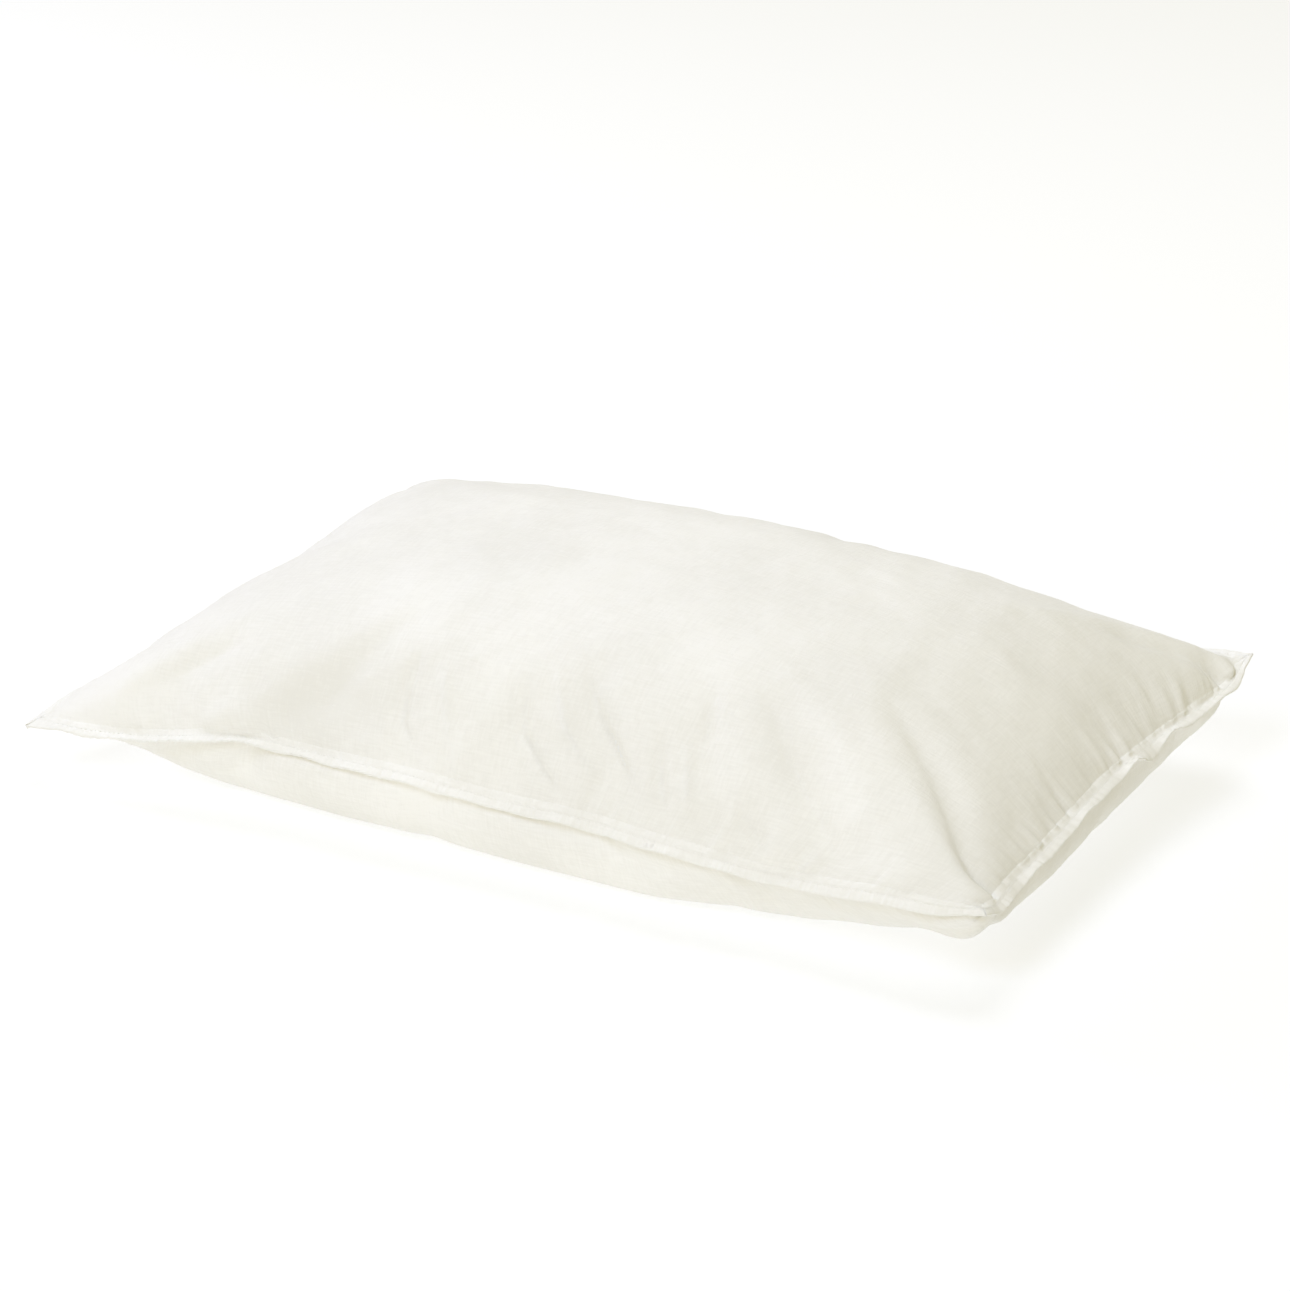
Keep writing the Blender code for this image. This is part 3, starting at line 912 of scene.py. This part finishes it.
def make_care_label(case):
    """The case's blank label, sewn in under its front seam."""
    us, vs = np.linspace(-0.90, -0.82, 20), np.linspace(-0.985, -0.84, 24)
    return under_panel(case, -1, us, vs, CLOTH + 0.0004, 0.0004, "case_care_label", "satin_label")


# ---------------------------------------------------------------- materials, light and camera


def node_of(tree, kind, inputs=None, **settings):
    made = tree.nodes.new(kind)
    for name, value in settings.items():
        setattr(made, name, value)
    for name, value in (inputs or {}).items():
        made.inputs[name].default_value = value
    return made


def cloth_material(name, light, dark, pitch, weave_depth, crumple_depth, roughness, sheen):
    """A woven cloth: plain weave, uneven threads, soft crumples and a faint change of colour."""
    material = bpy.data.materials.new(name)
    material.use_nodes = True
    tree = material.node_tree
    link = tree.links.new
    shader = tree.nodes["Principled BSDF"]
    shader.inputs["Sheen Weight"].default_value = sheen
    shader.inputs["Sheen Roughness"].default_value = 0.45
    shader.inputs["Specular IOR Level"].default_value = 0.25
    place = node_of(tree, "ShaderNodeUVMap", uv_map="flat_cloth")
    body = node_of(tree, "ShaderNodeTexCoord")
    threads = []
    across, along = 0.25 / pitch, 0.03 / pitch
    for stretch in ((across, along, 1), (along, across, 1)):
        mapping = node_of(tree, "ShaderNodeMapping", {"Scale": stretch})
        link(place.outputs["UV"], mapping.inputs["Vector"])
        uneven = node_of(tree, "ShaderNodeTexNoise", {"Scale": 1.0, "Detail": 2.0, "Roughness": 0.6})
        link(mapping.outputs["Vector"], uneven.inputs["Vector"])
        threads.append(uneven.outputs["Fac"])
    uneven = node_of(tree, "ShaderNodeMath", operation="ADD")
    link(threads[0], uneven.inputs[0])
    link(threads[1], uneven.inputs[1])
    split = node_of(tree, "ShaderNodeSeparateXYZ")
    link(place.outputs["UV"], split.inputs["Vector"])
    crossings = []
    for axis in "XY":
        turn = node_of(tree, "ShaderNodeMath", operation="MULTIPLY")
        turn.inputs[1].default_value = math.pi / pitch
        link(split.outputs[axis], turn.inputs[0])
        sine = node_of(tree, "ShaderNodeMath", operation="SINE")
        link(turn.outputs[0], sine.inputs[0])
        crossings.append(sine.outputs[0])
    weave = node_of(tree, "ShaderNodeMath", operation="MULTIPLY")
    link(crossings[0], weave.inputs[0])
    link(crossings[1], weave.inputs[1])
    crumple = node_of(tree, "ShaderNodeTexNoise", {"Scale": 55.0, "Detail": 5.0, "Roughness": 0.55})
    link(body.outputs["Object"], crumple.inputs["Vector"])
    normal = None
    for height, distance, strength in (
        (crumple.outputs["Fac"], crumple_depth, 0.5),
        (uneven.outputs[0], weave_depth * 4, 0.7),
        (weave.outputs[0], weave_depth, 0.7),
    ):
        bump = node_of(tree, "ShaderNodeBump", {"Distance": distance, "Strength": strength})
        link(height, bump.inputs["Height"])
        if normal is not None:
            link(normal, bump.inputs["Normal"])
        normal = bump.outputs["Normal"]
    link(normal, shader.inputs["Normal"])
    cloudy = node_of(tree, "ShaderNodeTexNoise", {"Scale": 9.0, "Detail": 3.0, "Roughness": 0.5})
    link(body.outputs["Object"], cloudy.inputs["Vector"])
    mixed = node_of(tree, "ShaderNodeMath", {1: 0.5}, operation="MULTIPLY_ADD")
    link(uneven.outputs[0], mixed.inputs[0])
    link(cloudy.outputs["Fac"], mixed.inputs[2])
    fade = node_of(tree, "ShaderNodeMapRange", {"From Min": 0.82, "From Max": 1.18})
    link(mixed.outputs[0], fade.inputs["Value"])
    colour = node_of(tree, "ShaderNodeMix", data_type="RGBA")
    colour.inputs[6].default_value = (*light, 1)
    colour.inputs[7].default_value = (*dark, 1)
    link(fade.outputs["Result"], colour.inputs["Factor"])
    link(colour.outputs[2], shader.inputs["Base Color"])
    rough = node_of(
        tree, "ShaderNodeMapRange",
        {"From Min": 0.6, "From Max": 1.4, "To Min": roughness - 0.07, "To Max": roughness + 0.05},
    )
    link(uneven.outputs[0], rough.inputs["Value"])
    link(rough.outputs["Result"], shader.inputs["Roughness"])
    return material


def plain_material(name, colour, roughness, sheen):
    material = bpy.data.materials.new(name)
    material.use_nodes = True
    shader = material.node_tree.nodes["Principled BSDF"]
    shader.inputs["Base Color"].default_value = (*colour, 1)
    shader.inputs["Roughness"].default_value = roughness
    shader.inputs["Sheen Weight"].default_value = sheen
    shader.inputs["Specular IOR Level"].default_value = 0.25
    return material


def thread_material():
    """Sewing thread: two plies twisted round each other."""
    material = plain_material("sewing_thread", (0.93, 0.92, 0.88), 0.55, 0.3)
    tree = material.node_tree
    link = tree.links.new
    place = node_of(tree, "ShaderNodeUVMap", uv_map="flat_cloth")
    mapping = node_of(tree, "ShaderNodeMapping", {"Rotation": (0, 0, 0.7)})
    link(place.outputs["UV"], mapping.inputs["Vector"])
    twist = node_of(tree, "ShaderNodeTexWave", {"Scale": 500.0, "Distortion": 0.6, "Detail": 1.0})
    link(mapping.outputs["Vector"], twist.inputs["Vector"])
    plies = node_of(tree, "ShaderNodeMix", data_type="RGBA")
    plies.inputs[6].default_value = (0.97, 0.96, 0.93, 1)
    plies.inputs[7].default_value = (0.92, 0.91, 0.87, 1)
    link(twist.outputs["Fac"], plies.inputs["Factor"])
    link(plies.outputs[2], tree.nodes["Principled BSDF"].inputs["Base Color"])
    return material


def wadding_material():
    """Loose polyester fibre: soft tufts crossed by fine hairs."""
    material = plain_material("fibre_fill", (0.95, 0.95, 0.94), 0.95, 0.6)
    tree = material.node_tree
    link = tree.links.new
    place = node_of(tree, "ShaderNodeTexCoord")
    normal = None
    for scale, distance in (((40, 40, 40), 0.004), ((900, 120, 400), 0.0008), ((150, 800, 500), 0.0008)):
        mapping = node_of(tree, "ShaderNodeMapping", {"Scale": scale})
        link(place.outputs["Object"], mapping.inputs["Vector"])
        tufts = node_of(tree, "ShaderNodeTexNoise", {"Scale": 1.0, "Detail": 4.0, "Roughness": 0.6})
        link(mapping.outputs["Vector"], tufts.inputs["Vector"])
        bump = node_of(tree, "ShaderNodeBump", {"Distance": distance, "Strength": 0.6})
        link(tufts.outputs["Fac"], bump.inputs["Height"])
        if normal is not None:
            link(normal, bump.inputs["Normal"])
        normal = bump.outputs["Normal"]
    link(normal, tree.nodes["Principled BSDF"].inputs["Normal"])
    return material


def make_materials():
    """Each slot's material. A cloth's numbers are its thread pitch, weave depth, crumple depth,
    roughness and sheen."""
    cloths = {
        "case_cotton": ((0.945, 0.935, 0.892), (0.880, 0.868, 0.820), 0.00045, 0.00006, 0.0012, 0.9, 0.2),
        "case_seam_cotton": (
            (0.955, 0.947, 0.910), (0.900, 0.890, 0.845), 0.00045, 0.00006, 0.0008, 0.88, 0.2,
        ),
        "ticking": ((0.92, 0.92, 0.90), (0.89, 0.89, 0.87), 0.00035, 0.00004, 0.0006, 0.85, 0.15),
        "piping": ((0.88, 0.88, 0.86), (0.85, 0.85, 0.83), 0.00040, 0.00005, 0.0003, 0.85, 0.15),
        "satin_label": ((0.95, 0.95, 0.94), (0.93, 0.93, 0.92), 0.00022, 0.00002, 0.0002, 0.45, 0.05),
    }
    made = {slot: cloth_material(slot, *numbers) for slot, numbers in cloths.items()}
    made["sewing_thread"] = thread_material()
    made["fibre_fill"] = wadding_material()
    return made


Lamp = namedtuple("Lamp", "name place size watts")
LAMPS = (
    Lamp("high", (0.2, -2.3, 2.3), 1.2, (24.7, 28.3, 40.8)),
    Lamp("top", (-0.3, 0.8, 2.6), 1.5, (23.9, 25.2, 30.2)),
    Lamp("left", (-2.8, 0.6, 1.2), 1.2, (16.7, 18.0, 27.6)),
    Lamp("front", (0.3, -2.8, 1.4), 1.2, (10.2, 9.0, 6.2)),
)
SKY = (0.422, 0.379, 0.198)
FLOOR_GLOW = (0.640, 0.645, 0.643)


def strength_and_colour(levels):
    """A red, green and blue level as one strength and a colour."""
    return max(levels), tuple(level / max(levels) for level in levels)


def area_light(lamp):
    data = bpy.data.lights.new(lamp.name, "AREA")
    data.shape = "DISK"
    data.size = lamp.size
    data.energy, data.color = strength_and_colour(lamp.watts)
    made = bpy.data.objects.new(lamp.name, data)
    bpy.context.scene.collection.objects.link(made)
    made.location = lamp.place
    made.rotation_euler = (Vector(lamp.place) - Vector((0, 0, 0.05))).to_track_quat("Z", "Y").to_euler()


def make_stage():
    """A plain pale floor, a plain warm surround and soft lamps."""
    floor = level_square("floor", 8)
    floor.location.z = -0.0005
    material = plain_material("floor", (0.40, 0.40, 0.40), 0.9, 0.0)
    shader = material.node_tree.nodes["Principled BSDF"]
    strength, colour = strength_and_colour(FLOOR_GLOW)
    shader.inputs["Emission Color"].default_value = (*colour, 1)
    shader.inputs["Emission Strength"].default_value = strength
    floor.data.materials.append(material)
    world = bpy.data.worlds.new("studio")
    bpy.context.scene.world = world
    world.use_nodes = True
    sky = world.node_tree.nodes["Background"]
    strength, colour = strength_and_colour(SKY)
    sky.inputs["Color"].default_value = (*colour, 1)
    sky.inputs["Strength"].default_value = strength
    for lamp in LAMPS:
        area_light(lamp)


def make_camera():
    azimuth, elevation, distance = math.radians(30.4), math.radians(22.7), 3.031
    aim = Vector((-0.0570, 0.0861, 0.05))
    level = math.cos(elevation)
    back = Vector((math.sin(azimuth) * level, -math.cos(azimuth) * level, math.sin(elevation)))
    data = bpy.data.cameras.new("camera")
    data.sensor_width = 36
    data.lens = 120.2
    camera = bpy.data.objects.new("camera", data)
    bpy.context.scene.collection.objects.link(camera)
    camera.location = aim + back * distance
    camera.rotation_euler = back.to_track_quat("Z", "Y").to_euler()
    bpy.context.scene.camera = camera
    bpy.context.scene.view_settings.view_transform = "Standard"


MATERIALS = make_materials()
make_camera()
make_stage()
case = Case()
panels = make_panels(case)
seams = make_edges(case)
label = make_care_label(case)
make_flap(case)
make_insert(case)
